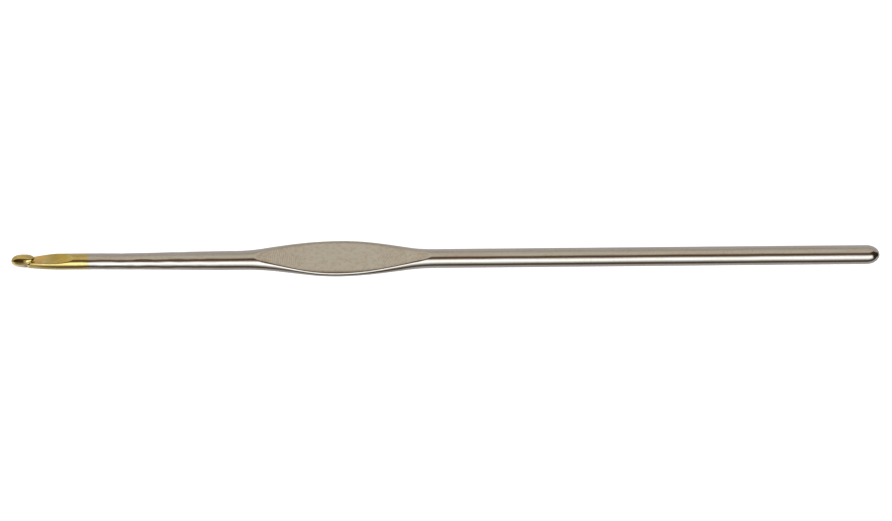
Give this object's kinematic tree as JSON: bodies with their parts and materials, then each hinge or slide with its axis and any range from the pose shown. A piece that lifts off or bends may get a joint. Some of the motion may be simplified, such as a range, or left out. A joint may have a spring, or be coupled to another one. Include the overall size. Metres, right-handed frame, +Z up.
{
  "type": "crochet hook",
  "caption": "Slim steel crochet hook: bullet head with undercut mouth, ground throat, tapered shank, pressed flat thumb rest and round handle with a rounded butt.",
  "frame": {"origin": "on the surface that the hook lies on, under the hook's axis, at the middle of its length", "axes": "+X along the hook from the tip of the head to the butt of the handle, +Z up, square to the thumb rest's flat face, +Y to the side that completes a right-handed frame"},
  "size_m": [0.136, 0.0058, 0.003],
  "materials": {
    "gilt": "bright gilt plate over nickel, thin and slightly uneven",
    "nickel": "warm bright nickel plate with fine drawing marks"
  },
  "bodies": {
    "root": {"hook_head": "gilt", "throat": "gilt", "gilt_shank": "gilt", "gauge_shank": "nickel", "shank_taper": "nickel", "thumb_rest": "nickel", "handle": "nickel", "butt_end": "nickel"}
  },
  "joints": []
}
